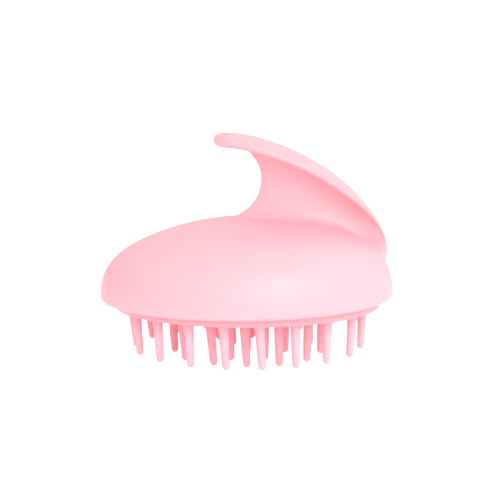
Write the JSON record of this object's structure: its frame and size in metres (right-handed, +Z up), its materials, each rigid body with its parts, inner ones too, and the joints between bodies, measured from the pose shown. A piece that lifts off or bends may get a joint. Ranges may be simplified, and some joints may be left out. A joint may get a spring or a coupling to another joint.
{
  "type": "scalp massager brush",
  "caption": "Palm-sized scalp massage brush: oval domed shell with a hook handle over a soft pad of short round-tipped bristles.",
  "frame": {"origin": "under the middle of the dome, on the plane that the inner bristle tips stand on", "axes": "+X along the brush towards the tail where the hook leaves the dome, the hook opens towards -X; +Y across; +Z up"},
  "size_m": [0.0888, 0.065, 0.0672],
  "materials": {
    "shell_abs": "satin moulded ABS, pale pink",
    "cover_abs": "satin moulded ABS, pale pink",
    "plate_abs": "plain moulded ABS, pink",
    "screw_steel": "zinc-plated steel",
    "pad_silicone": "soft matte silicone, pink, slightly translucent"
  },
  "bodies": {
    "root": {"dome_shell": "shell_abs", "handle_cover": "cover_abs", "base_plate": "plate_abs", "base_screws": "screw_steel", "bristle_pad": "pad_silicone"}
  },
  "joints": []
}
